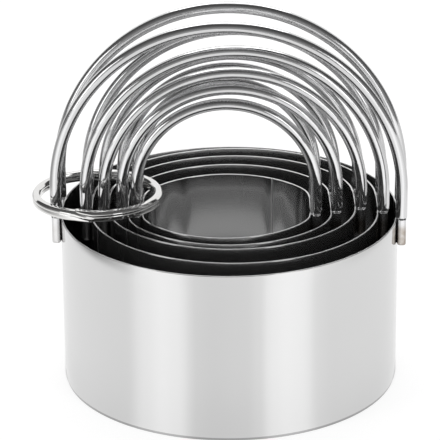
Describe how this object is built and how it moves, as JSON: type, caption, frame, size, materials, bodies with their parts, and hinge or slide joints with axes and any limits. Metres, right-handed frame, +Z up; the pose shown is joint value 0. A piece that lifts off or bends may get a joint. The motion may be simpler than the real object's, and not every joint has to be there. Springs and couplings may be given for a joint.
{
  "type": "biscuit cutter nest",
  "caption": "Nest of round steel biscuit cutters standing inside each other, each with an arched handle of twin wires, held together by a split ring.",
  "frame": {"origin": "on the surface that the cutters stand on, at the middle of the ground that the nest covers, ring and handles included", "axes": "+Z up, +X along the handles from the feet held by the ring to the free feet, +Y to the back, away from the viewer"},
  "size_m": [0.0992, 0.09, 0.1006],
  "materials": {
    "sheet_steel": "satin",
    "wire_steel": "polished",
    "ring_steel": "polished"
  },
  "bodies": {
    "cutter_5": {"band_5": "sheet_steel", "front_wire_5": "wire_steel", "back_wire_5": "wire_steel"},
    "cutter_4": {"band_4": "sheet_steel", "front_wire_4": "wire_steel", "back_wire_4": "wire_steel"},
    "cutter_3": {"band_3": "sheet_steel", "front_wire_3": "wire_steel", "back_wire_3": "wire_steel"},
    "cutter_2": {"band_2": "sheet_steel", "front_wire_2": "wire_steel", "back_wire_2": "wire_steel"},
    "cutter_1": {"band_1": "sheet_steel", "front_wire_1": "wire_steel", "back_wire_1": "wire_steel"},
    "ring": {"split_ring": "ring_steel"}
  },
  "joints": [
    {"name": "cutter_4_lift", "type": "slide", "parent": "cutter_5", "child": "cutter_4", "axis": [0, 0, 1], "range_m": [0, 0.0018]},
    {"name": "cutter_3_lift", "type": "slide", "parent": "cutter_4", "child": "cutter_3", "axis": [0, 0, 1], "range_m": [0, 0.0018]},
    {"name": "cutter_2_lift", "type": "slide", "parent": "cutter_3", "child": "cutter_2", "axis": [0, 0, 1], "range_m": [0, 0.0018]},
    {"name": "cutter_1_lift", "type": "slide", "parent": "cutter_2", "child": "cutter_1", "axis": [0, 0, 1], "range_m": [0, 0.0018]},
    {"name": "ring_turn", "type": "hinge", "parent": "cutter_1", "child": "ring", "pos_m": [-0.03231, 0.00178, 0.0493], "axis": [0, 0.0401, 0.9992], "continuous": true}
  ]
}
